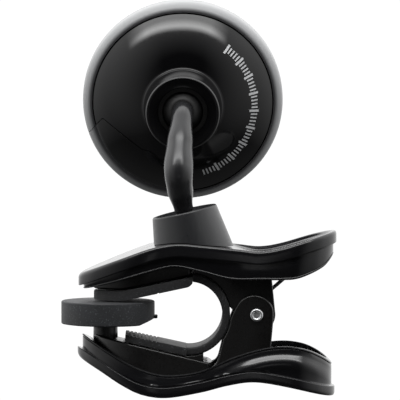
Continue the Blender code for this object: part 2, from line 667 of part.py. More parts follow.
def battery_door():
    """The piece of dome and rim that slides off towards the lower edge."""
    shell = 1.1
    edge = dome(0.0, DOME_EDGE, 12.0, 6)
    outer = [(HEAD_RADIUS, DOOR_FRONT), (HEAD_RADIUS, 12.3)]
    outer += list(reversed(rim_curve(DOME_EDGE + 0.15, SEAM, HEAD_RADIUS, 12.3)))[1:] + edge
    inner = dome(shell, 12.0, 19.5, 5) + [(BEZEL_BORE, 10.9), (BEZEL_BORE + 0.3, 12.0), (BEZEL_BORE + 0.3, DOOR_FRONT)]
    door = turned("battery_door", outer + inner, GLOSS_BLACK, HEAD, steps=56)
    combine(door, door_region("door", DOOR_EDGE, DOOR_HALF_WIDTH, 0, 30), "INTERSECT")


def ring_place(radius, angle):
    return (radius * math.cos(math.radians(angle)), radius * math.sin(math.radians(angle)), 0.0)


def display():
    """Clear lens, liquid-crystal panel, light guide with its lamp, and the elastomer connector."""
    plan_prism("display_lens", segment_outline(LENS_RADIUS, LENS_CHORD), 16.4, 17.7, CLEAR, HEAD)
    box("lcd_panel", (-12.5, -7.5, 14.0), (12.5, 13.5, 15.2), GLASS, HEAD)
    box("light_guide", (-12.3, -4.0, 12.6), (12.3, 11.8, 13.6), WHITE, HEAD)
    box("backlight_led", (-1.5, 12.1, 12.5), (1.5, 13.2, 13.3), WHITE, HEAD)
    box("zebra_strip", (-10.5, -6.9, 12.5), (10.5, -5.3, 13.7), RUBBER, HEAD)


def electronics():
    """Board, chip, vibration sensor, switch, and the screws that hold the board."""
    disc = [(0, BOARD_FRONT), (BOARD_RADIUS, BOARD_FRONT), (BOARD_RADIUS, BOARD_BACK), (0, BOARD_BACK)]
    board = turned("circuit_board", disc, BOARD_GREEN, HEAD)
    for i, angle in enumerate(SCREW_ANGLES):
        place = ring_place(SCREW_RING, angle)
        hole = [(0, 14), (1.05, 14), (1.05, 9), (0, 9)]
        combine(board, cutter(turned, f"board_hole_{i}", hole, parent=HEAD, steps=16, offset=place))
        screw = [(0, 14.4), (0.45, 14.2), (0.75, 13.8), (0.75, BOARD_BACK - GAP), (1.5, BOARD_BACK - GAP),
                 (1.5, BOARD_BACK - 0.9), (1.1, BOARD_BACK - 1.2), (0, BOARD_BACK - 1.2)]
        turned(f"board_screw_{i + 1}", screw, STEEL, HEAD, steps=16, offset=place)
    box("tuner_chip", (-15.0, -8.2, 9.9), (-10.5, -3.7, BOARD_BACK - GAP), DARK_FRAME, HEAD)
    sensor = [(0, 10.9), (3.5, 10.9), (3.5, 10.65), (2.4, 10.65), (2.4, 10.45), (0, 10.45)]
    turned("piezo_sensor", sensor, BRASS, HEAD, steps=24, offset=(0, 14.0, 0))
    switch = box("tact_switch", (-2.5, BUTTON_Y - 2.5, 12.5), (2.5, BUTTON_Y + 2.5, 13.6), STEEL, HEAD)
    plunger = cutter(turned, "plunger", [(0, 14.2), (1.2, 14.2), (1.2, 13), (0, 13)], parent=HEAD, steps=16,
                     offset=(0, BUTTON_Y, 0))
    combine(switch, plunger, "UNION")


def battery():
    """Coin cell and its two contact strips, open towards the door."""
    cell = [(0, CELL_FRONT), (8.7, CELL_FRONT), (8.9, CELL_FRONT - 0.3), (9.7, CELL_FRONT - 0.4),
            (CELL_RADIUS, CELL_FRONT - 0.8), (CELL_RADIUS, CELL_BACK + 0.3), (9.7, CELL_BACK), (0, CELL_BACK)]
    turned("coin_cell", cell, STEEL, HEAD, steps=40)
    strip = 0.25
    top = BOARD_BACK - GAP
    rear = CELL_BACK - GAP
    positive = [(-10.9, top), (-10.9, rear - strip), (4.0, rear - strip), (4.0, rear), (-10.65, rear), (-10.65, top)]
    contact_strip("battery_contact_positive", positive)
    near = CELL_FRONT + GAP
    negative = [(-9.0, near), (-9.0, top), (-8.0, top), (-8.0, near + strip), (5.0, near + strip), (5.0, near)]
    contact_strip("battery_contact_negative", negative)


def contact_strip(name, points):
    """A strip bent in the door's sliding plane, 5 mm wide."""
    half_width = 2.5
    obj = flat_outline(name, points, half_width)
    obj.rotation_euler = (math.radians(90), 0, 0)
    bpy.context.view_layer.update()
    mesh_object(name, curve_to_mesh(obj, name), BRASS, DOOR)


def power_button():
    """Button cap with a flange behind the front plate."""
    cap = [(0, 18.4), (2.4, 18.4), (2.9, 18.2), (3.0, 17.8), (3.0, 15.2), (3.8, 15.2), (3.8, 14.8), (0, 14.8)]
    turned("power_button", cap, SATIN_BLACK, HEAD, steps=24, offset=(0, BUTTON_Y, 0))


# ---------------------------------------------------------------- assembly

SOCKET = empty("socket_axis", CLIP_BALL, Matrix.Rotation(-SOCKET_LEAN, 3, "Y"))
PIN = empty("pin_axis", Vector((PIVOT[0], 0, PIVOT[1])), Matrix.Rotation(math.radians(90), 3, "X"))
HEAD_TURN = Matrix.Rotation(-(math.pi / 2 - HEAD_TILT), 3, "X") @ Matrix.Rotation(math.pi, 3, "Z")
HEAD = empty("head_axis", HEAD_BALL, HEAD_TURN)
DOOR = empty("door_axis", HEAD_BALL, HEAD_TURN @ Matrix.Rotation(DOOR_ANGLE, 3, "Z"))

clip_shells()
upper_frame()
lower_frame()
upper_pad()
lower_pad()
throat_band()
pivot_rivet()
torsion_spring()
swivel_pad()
clip_socket()
ball_cup("clip_ball_cup", SOCKET, CLIP_BALL_RADIUS, 5.7, 2.1, 5.0, False)
stem_arm()
ball_cup("head_ball_cup", HEAD, HEAD_BALL_RADIUS, 6.6, 2.4, 5.8, True)
rear_housing()
front_bezel()
battery_door()
display()
electronics()
battery()
power_button()
bpy.context.view_layer.update()
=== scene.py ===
"""Looks of the clip-on tuner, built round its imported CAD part. Lengths are in millimetres unless noted."""

import math

import bmesh
import bpy
from mathutils import Matrix, Vector


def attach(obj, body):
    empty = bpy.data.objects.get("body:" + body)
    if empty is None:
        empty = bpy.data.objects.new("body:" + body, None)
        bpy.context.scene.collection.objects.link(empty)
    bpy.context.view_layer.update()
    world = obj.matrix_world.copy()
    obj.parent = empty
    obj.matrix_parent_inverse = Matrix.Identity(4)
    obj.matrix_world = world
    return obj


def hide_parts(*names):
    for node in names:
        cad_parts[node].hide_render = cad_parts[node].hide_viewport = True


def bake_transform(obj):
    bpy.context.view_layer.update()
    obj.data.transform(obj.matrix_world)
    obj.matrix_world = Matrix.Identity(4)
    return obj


MM = 0.001
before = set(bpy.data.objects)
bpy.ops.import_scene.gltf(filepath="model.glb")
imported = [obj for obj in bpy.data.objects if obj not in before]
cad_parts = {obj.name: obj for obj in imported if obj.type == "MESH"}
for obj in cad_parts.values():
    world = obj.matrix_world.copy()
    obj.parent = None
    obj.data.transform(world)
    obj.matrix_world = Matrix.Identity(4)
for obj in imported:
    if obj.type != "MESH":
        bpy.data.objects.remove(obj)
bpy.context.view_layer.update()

# Clip
PIVOT = (33.2, -2.65)
BAND_CENTRE = (18.2, -2.7)
BAND_INNER, BAND_OUTER = 7.35, 9.1
BAND_HALF = 6.6
BAND_LOWER_END, BAND_UPPER_END = 17.54, 19.0
PAD_SLOPE = math.tan(math.radians(12.0))
UPPER_TOP = [(-9, 5.0), (-6.5, 6.2), (-2, 8.0), (2.8, 9.85), (9.5, 12.25), (15.2, 13.3), (21, 12.9),
             (29, 12.1), (34, 11.6), (39, 12.4), (46, 14.5), (50.6, 15.8), (53, 16.4)]
UPPER_EDGE = [(-9, 1.6), (-5, 2.8), (2.8, 4.9), (9.5, 6.9), (15, 8.0), (21, 6.85), (27.5, 5.25), (34, 5.2),
              (39, 5.2), (42.7, 5.6), (47.5, 7.6), (49.6, 9.4), (51.5, 12.2)]
LOWER_BOTTOM = [(-9, -10.8), (-6.2, -12.7), (-1.6, -15.4), (3, -18.3), (7.5, -20.4), (13, -21.1),
                (20.6, -19.9), (27, -18.3), (33, -17.6), (41, -18.9), (49, -20.9), (53, -21.6)]
LOWER_EDGE = [(-9, -5.2), (-4.6, -7.9), (0.5, -11.1), (5, -13.7), (9.5, -15.4), (14, -16.0), (20.6, -15.1),
              (27.5, -12.2), (34, -10.2), (39, -9.6), (43, -10.0), (46, -11.0), (49, -12.8), (52, -15.6)]
WEB_LINE = [(-5, -6.82), (24, -13.69)]
UPPER_LIP, LOWER_LIP = 2.8, 2.3
LIP_CLEARANCE = 0.4
DISH = 0.8
NOSE_ROUND, TAIL_ROUND = 11.0, 41.3
SHELL_HALF = 10.0
FRAME_NOSE = -3.25
PAD_HALF = 7.4
PAD_GAP = 0.35
LAND_END = 3.2

# Stem and sockets
CLIP_BALL = Vector((17.95, 0.0, 16.2))
HEAD_BALL = Vector((16.7, 11.0, 42.1))
CLIP_BALL_RADIUS, HEAD_BALL_RADIUS = 4.1, 4.9
SOCKET_LEAN = math.radians(12.9)
LEAN = Vector((-math.sin(SOCKET_LEAN), 0, math.cos(SOCKET_LEAN)))
STEM_START, STEM_END = 4.2, 5.0
STEM_MIDDLE = Vector((15.8, -3.35, 29.6))
STEM_LEAN = Vector((-0.01, 0.54, 1.0)).normalized()
STEM_RADII = [(0.0, 2.0), (4.5, 2.15), (9.5, 2.9), (15.5, 3.3), (21.0, 2.9), (26.5, 2.4), (31.0, 2.2),
              (60.0, 2.2)]

# Head
HEAD_TILT = math.radians(7.8)
DOOR_ANGLE = math.radians(-50.8)
DOME_CENTRE, DOME_RADIUS = 31.4, 29.8
RIM_RADIUS = 22.6
BUTTON_Y = -14.3

SOCKET_FRAME = Matrix.Translation(CLIP_BALL) @ Matrix.Rotation(-SOCKET_LEAN, 4, "Y")
PIN_FRAME = Matrix.Translation((PIVOT[0], 0, PIVOT[1])) @ Matrix.Rotation(math.radians(90), 4, "X")
HEAD_FRAME = (Matrix.Translation(HEAD_BALL) @ Matrix.Rotation(-(math.pi / 2 - HEAD_TILT), 4, "X")
              @ Matrix.Rotation(math.pi, 4, "Z"))
DOOR_FRAME = HEAD_FRAME @ Matrix.Rotation(DOOR_ANGLE, 4, "Z")
IDENTITY = Matrix.Identity(4)
SHARP = math.radians(38)
GLOSS_BLACK = (0.0032, 0.0032, 0.0036)
PAPER_WHITE = 1.05


# ---------------------------------------------------------------- materials

class Nodes:
    """A node tree with short ways to add nodes."""

    def __init__(self, tree, coordinates):
        self.tree = tree
        self.place = self.add("ShaderNodeTexCoord").outputs[coordinates]

    def add(self, kind, **inputs):
        node = self.tree.nodes.new(kind)
        for key, value in inputs.items():
            self.put(value, node.inputs[key.replace("_", " ")])
        return node

    def put(self, value, socket):
        if isinstance(value, bpy.types.NodeSocket):
            self.tree.links.new(value, socket)
        else:
            socket.default_value = value

    def noise(self, per_metre, detail=3.0, rough=0.55):
        return self.add("ShaderNodeTexNoise", Vector=self.place, Scale=per_metre, Detail=detail,
                        Roughness=rough).outputs["Fac"]

    def spread(self, value, low, high, to_low, to_high):
        node = self.add("ShaderNodeMapRange")
        for key, number in (("Value", value), ("From Min", low), ("From Max", high), ("To Min", to_low),
                            ("To Max", to_high)):
            self.put(number, node.inputs[key])
        return node.outputs["Result"]

    def calculate(self, operation, first, second=None):
        node = self.add("ShaderNodeMath")
        node.operation = operation
        self.put(first, node.inputs[0])
        if second is not None:
            self.put(second, node.inputs[1])
        return node.outputs[0]

    def vector(self, operation, first, second, output):
        node = self.add("ShaderNodeVectorMath")
        node.operation = operation
        self.put(first, node.inputs[0])
        if second is not None:
            self.put(second, node.inputs[1])
        return node.outputs[output]

    def mix(self, factor, first, second):
        node = self.add("ShaderNodeMix")
        node.data_type = "RGBA"
        self.put(factor, node.inputs[0])
        self.put((*first, 1.0) if isinstance(first, tuple) else first, node.inputs[6])
        self.put((*second, 1.0) if isinstance(second, tuple) else second, node.inputs[7])
        return node.outputs[2]

    def bump(self, height, strength, depth_mm, under=None):
        node = self.add("ShaderNodeBump", Strength=strength, Distance=depth_mm * MM, Height=height)
        if under is not None:
            self.put(under, node.inputs["Normal"])
        return node.outputs["Normal"]


class Surface(Nodes):
    """A material's node tree, in object coordinates."""

    def __init__(self, name):
        self.material = bpy.data.materials.new(name)
        self.material.use_nodes = True
        super().__init__(self.material.node_tree, "Object")
        self.shader = self.tree.nodes["Principled BSDF"]

    def grain(self, strength):
        """Fine grain on slow waves."""
        waves = self.bump(self.noise(160.0, 2.0), 0.08, 0.06)
        return self.bump(self.noise(7000.0, 2.0), strength, 0.012, waves)

    def set(self, **inputs):
        """Sets the shader's inputs and gives back the material."""
        for key, value in inputs.items():
            if isinstance(value, tuple):
                value = (*value, 1.0)
            self.put(value, self.shader.inputs[key.replace("_", " ")])
        return self.material


def moulded_plastic(name, colour, roughness, grain, specks=0.5):
    """Moulded plastic with faint flow marks, uneven gloss, fine grain and a few specks of dust."""
    nodes = Surface(name)
    flow = nodes.noise(90.0, 4.0)
    dust = nodes.spread(nodes.noise(5200.0, 1.0), 0.79, 0.84, 0.0, specks)
    shade = nodes.mix(flow, tuple(0.8 * c for c in colour), tuple(1.25 * c for c in colour))
    scratches = nodes.noise(1500.0, 5.0, 0.7)
    rough = nodes.spread(scratches, 0.3, 0.75, roughness * 0.8, roughness * 1.3)
    dusty = nodes.mix(dust, shade, (0.16, 0.16, 0.17))
    return nodes.set(Base_Color=dusty, Roughness=rough, Normal=nodes.grain(grain))


def moulded_rubber(name, colour, dusty):
    """Matte rubber: bloom in soft patches, pale specks and a pitted skin."""
    nodes = Surface(name)
    patches = nodes.noise(240.0, 5.0, 0.65)
    specks = nodes.spread(nodes.noise(3600.0, 2.0, 0.6), 0.60, 0.74, 0.0, dusty)
    shade = nodes.mix(nodes.spread(patches, 0.3, 0.7, 0.0, 1.0), tuple(0.7 * c for c in colour),
                      tuple(1.35 * c for c in colour))
    pits = nodes.bump(nodes.noise(2600.0, 4.0, 0.7), 0.35, 0.05)
    nodes.set(Base_Color=nodes.mix(specks, shade, (0.20, 0.21, 0.23)), Normal=pits, Sheen_Weight=0.06)
    return nodes.set(Roughness=nodes.spread(patches, 0.3, 0.7, 0.58, 0.78))


def stem_plastic(name):
    """Satin black plastic, duller on the ball within the head's socket, with painted shade there that makes
    it darker.
    """
    nodes = Surface(name)
    split = nodes.add("ShaderNodeSeparateXYZ", Vector=nodes.place)
    socket_shade_and_dullness = nodes.spread(split.outputs["Y"], 5.2 * MM, 6.4 * MM, 0.0, 1.0)
    shade = nodes.mix(nodes.noise(90.0, 4.0), (0.016, 0.0162, 0.0175), (0.025, 0.0253, 0.027))
    # painted shade: near-black colour on the ball within the socket, where shade falls
    colour = nodes.mix(socket_shade_and_dullness, shade, (0.003, 0.003, 0.003))
    rough = nodes.spread(socket_shade_and_dullness, 0.0, 1.0, 0.21, 0.5)
    return nodes.set(Base_Color=colour, Normal=nodes.grain(0.06), Roughness=rough)


def rim_with_painted_reflection(name):
    """Gloss black, with a grey ring of painted reflection outside the dome, painted paler towards its edge.
    The front stays black.
    """
    nodes = Surface(name)
    axis = HEAD_FRAME.to_3x3() @ Vector((0, 0, 1))
    from_ball = nodes.vector("SUBTRACT", nodes.place, HEAD_BALL * MM, "Vector")
    along = nodes.vector("DOT_PRODUCT", from_ball, axis, "Value")
    on_axis = nodes.vector("PROJECT", from_ball, axis, "Vector")
    radius = nodes.vector("LENGTH", nodes.vector("SUBTRACT", from_ball, on_axis, "Vector"), None, "Value")
    outside = nodes.spread(radius, 20.10 * MM, 20.25 * MM, 0.0, 1.0)
    back = nodes.spread(along, 17.2 * MM, 17.5 * MM, 1.0, 0.0)
    # painted reflection: the grey ring, paler towards the rim's edge, stands in for the bright surround
    # mirrored by gloss black at a grazing angle
    paler = nodes.spread(radius, 20.8 * MM, 21.6 * MM, 0.0, 1.0)
    grey = nodes.mix(paler, (0.05, 0.05, 0.053), (0.32, 0.325, 0.33))
    rim = nodes.mix(back, GLOSS_BLACK, grey)
    normal = nodes.bump(nodes.noise(7000.0, 2.0), 0.04, 0.012)
    nodes.set(Base_Color=nodes.mix(outside, GLOSS_BLACK, rim), Normal=normal)
    return nodes.set(Roughness=nodes.spread(outside, 0.0, 1.0, 0.08, 0.38))


def metal(name, colour, roughness):
    """Plated or drawn metal with fine tool marks and a little tarnish."""
    nodes = Surface(name)
    marks = nodes.noise(2200.0, 4.0, 0.7)
    tarnish = nodes.noise(500.0, 3.0)
    shade = nodes.mix(nodes.spread(tarnish, 0.35, 0.75, 0.0, 1.0), colour, tuple(0.72 * c for c in colour))
    rough = nodes.spread(marks, 0.3, 0.7, roughness * 0.7, roughness * 1.5)
    return nodes.set(Base_Color=shade, Metallic=1.0, Roughness=rough, Normal=nodes.bump(marks, 0.12, 0.02))


def clear_plastic(name):
    """Clear acrylic with a slightly uneven polish."""
    nodes = Surface(name)
    rough = nodes.spread(nodes.noise(1200.0, 4.0), 0.3, 0.8, 0.02, 0.07)
    return nodes.set(Base_Color=(0.93, 0.95, 0.96), Roughness=rough, Transmission_Weight=1.0, IOR=1.49)


def display_glass(name):
    """Unlit liquid-crystal glass: grey-green with faint cells."""
    nodes = Surface(name)
    distance = nodes.add("ShaderNodeTexVoronoi", Vector=nodes.place, Scale=1500.0).outputs["Distance"]
    cells = nodes.spread(distance, 0.0, 0.7, 0.0, 1.0)
    tint = nodes.mix(nodes.noise(60.0), (0.20, 0.25, 0.20), (0.26, 0.31, 0.25))
    nodes.set(Base_Color=nodes.mix(cells, tint, (0.24, 0.29, 0.235)), Coat_Weight=0.4)
    return nodes.set(Roughness=nodes.spread(cells, 0.0, 1.0, 0.16, 0.24))


def board_lacquer(name):
    """Green lacquer with paler copper runs under it."""
    nodes = Surface(name)
    runs = nodes.add("ShaderNodeTexBrick", Vector=nodes.place, Scale=260.0)
    runs.offset = 0.5
    copper = nodes.spread(runs.outputs["Fac"], 0.4, 0.6, 0.0, 1.0)
    shade = nodes.mix(copper, (0.012, 0.10, 0.045), (0.05, 0.24, 0.10))
    return nodes.set(Base_Color=shade, Roughness=nodes.spread(nodes.noise(900.0), 0.3, 0.7, 0.3, 0.5),
                     Normal=nodes.bump(copper, 0.3, 0.03))


GLOSS = moulded_plastic("gloss_black", GLOSS_BLACK, 0.08, 0.02, 0.25)
SHELL = moulded_plastic("shell_black", (0.0075, 0.0075, 0.0084), 0.15, 0.04, 0.5)
SATIN = moulded_plastic("satin_black", (0.0150, 0.0155, 0.0170), 0.34, 0.18, 0.6)
STEM = stem_plastic("stem_black")
PAINTED_REFLECTION_RIM = rim_with_painted_reflection("rim_with_painted_reflection")
FRAME = moulded_plastic("frame_black", (0.0030, 0.0028, 0.0027), 0.30, 0.12, 0.4)
RUBBER = moulded_rubber("pad_rubber", (0.0150, 0.0165, 0.0190), 0.5)
STRIP_RUBBER = moulded_rubber("strip_rubber", (0.0090, 0.0092, 0.0100), 0.35)
BAND_RUBBER = moulded_rubber("band_rubber", (0.0060, 0.0060, 0.0065), 0.25)
STEEL = metal("bright_steel", (0.84, 0.85, 0.86), 0.3)
SPRING = metal("spring_wire", (0.16, 0.16, 0.17), 0.36)
BRASS = metal("sheet_brass", (0.72, 0.55, 0.26), 0.3)
CLEAR = clear_plastic("clear_window")
GLASS = display_glass("display_glass")
WHITE = moulded_plastic("white_plastic", (0.62, 0.62, 0.60), 0.45, 0.1, 0.0)
PRINT = moulded_plastic("pale_print", (0.58, 0.59, 0.60), 0.5, 0.1, 0.0)
SEGMENT = moulded_plastic("display_segment", (0.035, 0.045, 0.04), 0.4, 0.02, 0.0)
BOARD = board_lacquer("board_lacquer")


# ---------------------------------------------------------------- mesh helpers

def shape_object(name, verts, faces, place=IDENTITY, sharp=SHARP):
    """A welded mesh object from points in millimetres."""
    mesh = bpy.data.meshes.new(name)
    mesh.from_pydata([(place @ Vector(v)) * MM for v in verts], [], faces)
    shape = bmesh.new()
    shape.from_mesh(mesh)
    bmesh.ops.remove_doubles(shape, verts=shape.verts, dist=0.000001)
    bmesh.ops.recalc_face_normals(shape, faces=shape.faces)
    shape.to_mesh(mesh)
    shape.free()
    mesh.shade_smooth()
    mesh.set_sharp_from_angle(angle=sharp)
    obj = bpy.data.objects.new(name, mesh)
    bpy.context.scene.collection.objects.link(obj)
    return obj


def loft(name, rings, place=IDENTITY, caps=True, loop=False, sharp=SHARP):
    """Skins closed rings of points, in order. loop joins the last ring to the first."""
    count = len(rings[0])
    verts = [point for ring in rings for point in ring]
    faces = []
    rows = len(rings) if loop else len(rings) - 1
    for i in range(rows):
        a, b = i * count, (i + 1) % len(rings) * count
        faces += [(a + j, a + (j + 1) % count, b + (j + 1) % count, b + j) for j in range(count)]
    if caps and not loop:
        faces += [tuple(range(count)), tuple(range(len(verts) - count, len(verts)))]
    return shape_object(name, verts, faces, place, sharp)


def revolve(name, profile, place=IDENTITY, steps=96):
    """Turns (radius, z) points about z. A profile that starts and ends off the axis is closed into a ring."""
    angles = [2 * math.pi * i / steps for i in range(steps)]
    rings = [[(max(r, 0.0) * math.cos(a), max(r, 0.0) * math.sin(a), z) for a in angles] for r, z in profile]
    ring_shaped = profile[0][0] > 1e-6 and profile[-1][0] > 1e-6
    return loft(name, rings, place, caps=False, loop=ring_shaped)


def rounded(corners, segments=4, closed=False):
    """A line through (x, y, radius) corners, each one rounded off."""
    points = []
    last = len(corners) - 1
    for i, (x, y, radius) in enumerate(corners):
        here = Vector((x, y))
        if radius <= 0 or (i in (0, last) and not closed):
            points.append((x, y))
            continue
        before = Vector(corners[i - 1][:2]) - here
        after = Vector(corners[(i + 1) % len(corners)][:2]) - here
        start = here + before.normalized() * min(radius, before.length * 0.48)
        end = here + after.normalized() * min(radius, after.length * 0.48)
        for k in range(segments + 1):
            t = k / segments
            point = (1 - t) ** 2 * start + 2 * t * (1 - t) * here + t * t * end
            points.append((point.x, point.y))
    return points


def arc(centre, radius, start, end, count):
    """Points on an arc, angles in degrees."""
    angles = [math.radians(start + (end - start) * i / count) for i in range(count + 1)]
    return [(centre[0] + radius * math.cos(a), centre[1] + radius * math.sin(a)) for a in angles]


def inset(outline, distance):
    """A closed outline moved inwards along its corners' bisectors."""
    area = sum(a[0] * b[1] - b[0] * a[1] for a, b in zip(outline, outline[1:] + outline[:1]))
    side = 1.0 if area > 0 else -1.0
    moved = []
    for i, point in enumerate(outline):
        here = Vector(point)
        into = (here - Vector(outline[i - 1])).normalized()
        away = (Vector(outline[(i + 1) % len(outline)]) - here).normalized()
        bisector = Vector((-(into.y + away.y), into.x + away.x))
        if bisector.length < 1e-6:
            moved.append(point)
            continue
        bisector.normalize()
        reach = distance / max(0.5, bisector.dot(Vector((-away.y, away.x))))
        here += bisector * reach * side
        moved.append((here.x, here.y))
    return moved


def slab(name, outline, low, high, rim, place=IDENTITY, upright=True):
    """A plate with both rims rounded. Upright outlines are in X and Z with the thickness along Y."""
    rises = [math.pi / 2 * i / 4 for i in range(5)]
    levels = [(low + rim * (1 - math.sin(a)), rim * (1 - math.cos(a))) for a in reversed(rises)]
    levels += [(high - rim * (1 - math.sin(a)), rim * (1 - math.cos(a))) for a in rises]
    rings = []
    for level, margin in levels:
        points = inset(outline, margin)
        rings.append([(x, level, z) if upright else (x, z, level) for x, z in points])
    return loft(name, rings, place)


def tube(name, path, radii, sides):
    """A round skin along a path of Vectors, with one radius for each point."""
    rings = []
    side = Vector((1, 0, 0))
    for i, point in enumerate(path):
        along = (path[min(i + 1, len(path) - 1)] - path[max(i - 1, 0)]).normalized()
        side = (side - along * side.dot(along)).normalized()
        up = along.cross(side)
        angles = [2 * math.pi * k / sides for k in range(sides)]
        rings.append([tuple(point + (side * math.cos(a) + up * math.sin(a)) * radii[i]) for a in angles])
    return loft(name, rings, sharp=math.radians(60))


def carve(obj, cutter, operation="DIFFERENCE"):
    """Cuts obj with another object, or keeps only what both hold. The other object is then removed."""
    modifier = obj.modifiers.new("carve", "BOOLEAN")
    modifier.operation = operation
    modifier.solver = "EXACT"
    modifier.object = cutter
    bpy.context.view_layer.update()
    mesh = bpy.data.meshes.new_from_object(obj.evaluated_get(bpy.context.evaluated_depsgraph_get()))
    obj.modifiers.clear()
    obj.data = mesh
    bpy.data.objects.remove(cutter)
    mesh.set_sharp_from_angle(angle=SHARP)
    return obj


def join(first, *others):
    """Puts the other objects' meshes into the first one's."""
    shape = bmesh.new()
    for obj in (first, *others):
        shape.from_mesh(obj.data)
    shape.to_mesh(first.data)
    shape.free()
    for obj in others:
        bpy.data.objects.remove(obj)
    first.data.set_sharp_from_angle(angle=SHARP)
    return first


def show(obj, material, slot, body, *nodes):
    """Gives a finished piece its material and body, and hides the CAD nodes that it stands for.

    body is None for a piece that bends between two bodies.
    """
    obj.data.materials.clear()
    obj.data.materials.append(material)
    if body:
        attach(obj, body)
    if nodes:
        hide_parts(*nodes)
    return obj


def smooth_line(points):
    """A Catmull-Rom line through the points."""
    per_segment = 12
    padded = [points[0]] + list(points) + [points[-1]]
    line = []
    for p0, p1, p2, p3 in zip(padded, padded[1:], padded[2:], padded[3:]):
        for i in range(per_segment):
            t = i / per_segment
            weights = (-t + 2 * t**2 - t**3, 2 - 5 * t**2 + 3 * t**3, t + 4 * t**2 - 3 * t**3, t**3 - t**2)
            line.append(tuple(sum(w * p[k] for w, p in zip(weights, (p0, p1, p2, p3))) / 2 for k in (0, 1)))
    return line + [tuple(points[-1])]


def eased(value, low, high):
    """0 below low, 1 above high and a smooth step between them."""
    t = min(1.0, max(0.0, (value - low) / (high - low)))
    return t * t * (3 - 2 * t)


def height_along(points):
    """A function that gives a smooth line's height at x."""
    line = smooth_line(points)

    def height(x):
        for (x0, z0), (x1, z1) in zip(line, line[1:]):
            if x <= x1:
                return z0 + (z1 - z0) * (x - x0) / (x1 - x0)
        return line[-1][1]

    return height


# ---------------------------------------------------------------- jaws

def plan_loop(nose, nose_round, tail_round, tail, half, margin):
    """A closed plan line: rounded nose, straight sides and rounded tail, moved in by margin.

    The nose moves in further, so its wall is thicker.
    """
    half -= margin
    nose, tail = nose + 1.6 * margin, tail - margin
    straight = [nose_round + (tail_round - nose_round) * i / 44 for i in range(1, 44)]
    turns = [math.pi * i / 30 for i in range(31)]
    loop = [(nose_round - (nose_round - nose) * math.sin(a), half * math.cos(a)) for a in turns]
    loop += [(x, -half) for x in straight]
    loop += [(tail_round + (tail - tail_round) * math.sin(a), -half * math.cos(a)) for a in turns]
    return loop + [(x, half) for x in reversed(straight)]


def tray(name, plan, outer, edge, inward, section, lean=None, dish=0.0, lip=LOWER_LIP):
    """A tray shape. Each section entry is (margin, line, distance from it towards the other, share of lean).

    lean(x) narrows the wall, and dish hollows the outer face towards the tail. The wall never gets lower than
    the lip and its clearance.
    """
    rings = []
    for margin, line, distance, share in section:
        ring = []
        for x, y in plan_loop(*plan, margin):
            if lean and margin < plan[4] - 1:
                y *= 1 - share * lean(x) / (plan[4] - margin)
            z = outer(x) + inward * distance
            if line == "outer" and distance == 0.0:
                z += inward * dish * eased(x, 24, 34) * eased(margin, 0.8, 2.3)
            if line == "edge":
                floor = outer(x) + inward * (lip + LIP_CLEARANCE)
                z = edge(x) - inward * distance
                z = max(z, floor) if inward > 0 else min(z, floor)
            ring.append((x, y, z))
        rings.append(ring)
    return loft(name, rings, caps=False)


def on_outer(points):
    """Section entries on the outer line, from (margin, distance) points."""
    return [(margin, "outer", distance, 0) for margin, distance in points]


def on_edge(points, share=0):
    """Section entries on the edge line, from (margin, distance) points."""
    return [(margin, "edge", distance, share) for margin, distance in points]


def filled(margin, half, distance):
    """Section entries that carry a face from this margin in to the middle."""
    return on_outer([(margin + (half - margin) * t, distance) for t in (0.25, 0.5, 0.75, 1.0)])


def shell_section(crown, lip_height):
    """A shell's section from its inner floor over the wall's beaded edge and the lip to its outer face.

    crown is a list of (depth below the edge, share of lean) down the wall's outer side. A negative share
    pushes the wall out.
    """
    inner = list(reversed(filled(2.7, SHELL_HALF, 1.5)))
    inner += on_outer([(2.7, 1.5), (2.1, 1.62), (1.93, 1.9), (1.9, 2.4)])
    edge = on_edge([(1.9, 0.6), (1.88, 0.25), (1.8, 0.08), (1.66, 0.0)])
    bead = [(1.0, 0.0), (0.78, 0.07), (0.66, 0.2), (0.65, 0.36), (0.73, 0.5), (0.8, 0.56), (0.76, 0.62)]
    edge += on_edge(bead, crown[0][1])
    wall = [(0.7, "edge", depth, share) for depth, share in crown]
    step = [(0.7, 0.36), (0.67, 0.1), (0.58, 0.02), (0.2, 0.0), (0.08, -0.04), (0.02, -0.12), (0.0, -0.25)]
    lip = on_outer([(margin, lip_height + above) for margin, above in step])
    lip += on_outer([(0.0, 1.3), (0.0, 0.95), (0.02, 0.7), (0.08, 0.45), (0.18, 0.24), (0.33, 0.08)])
    face = on_outer([(margin, 0.0) for margin in (0.5, 0.85, 1.15, 1.5, 1.9, 2.4, 3.0)])
    return inner + edge + wall + lip + face + filled(3.0, SHELL_HALF, 0.0)


def jaw_shells():
    """The two gloss shells: the upper one has a hole for the socket, and the lower one's wall bulges."""
    plan = (-6.6, NOSE_ROUND, TAIL_ROUND, 51.1, SHELL_HALF)
    section = shell_section([(0.75, 0.9)], UPPER_LIP)
    upper = tray("upper_shell", plan, height_along(UPPER_TOP), height_along(UPPER_EDGE), -1, section,
                 lambda x: 0.35 * (1 - eased(x, 26, 30)), DISH, UPPER_LIP)
    hole = revolve("hole", [(0, 8), (7.15, 8), (7.15, -12), (0, -12)], SOCKET_FRAME, 64)
    show(carve(upper, hole), SHELL, "gloss_black", "upper_jaw", "upper_jaw_shell")
    plan = (-6.8, NOSE_ROUND, TAIL_ROUND, 50.7, SHELL_HALF)
    crown = [(0.68, 0.7), (1.45, 0.64), (1.9, 0.38), (2.5, -0.08), (3.0, -0.45), (3.5, -0.66), (4.1, -0.72),
             (4.8, -0.55)]
    lower = tray("lower_shell", plan, height_along(LOWER_BOTTOM), height_along(LOWER_EDGE), 1,
                 shell_section(crown, LOWER_LIP), lambda x: 0.25 + 0.6 * eased(x, 23, 33), DISH)
    show(lower, SHELL, "gloss_black", "lower_jaw", "lower_jaw_shell")


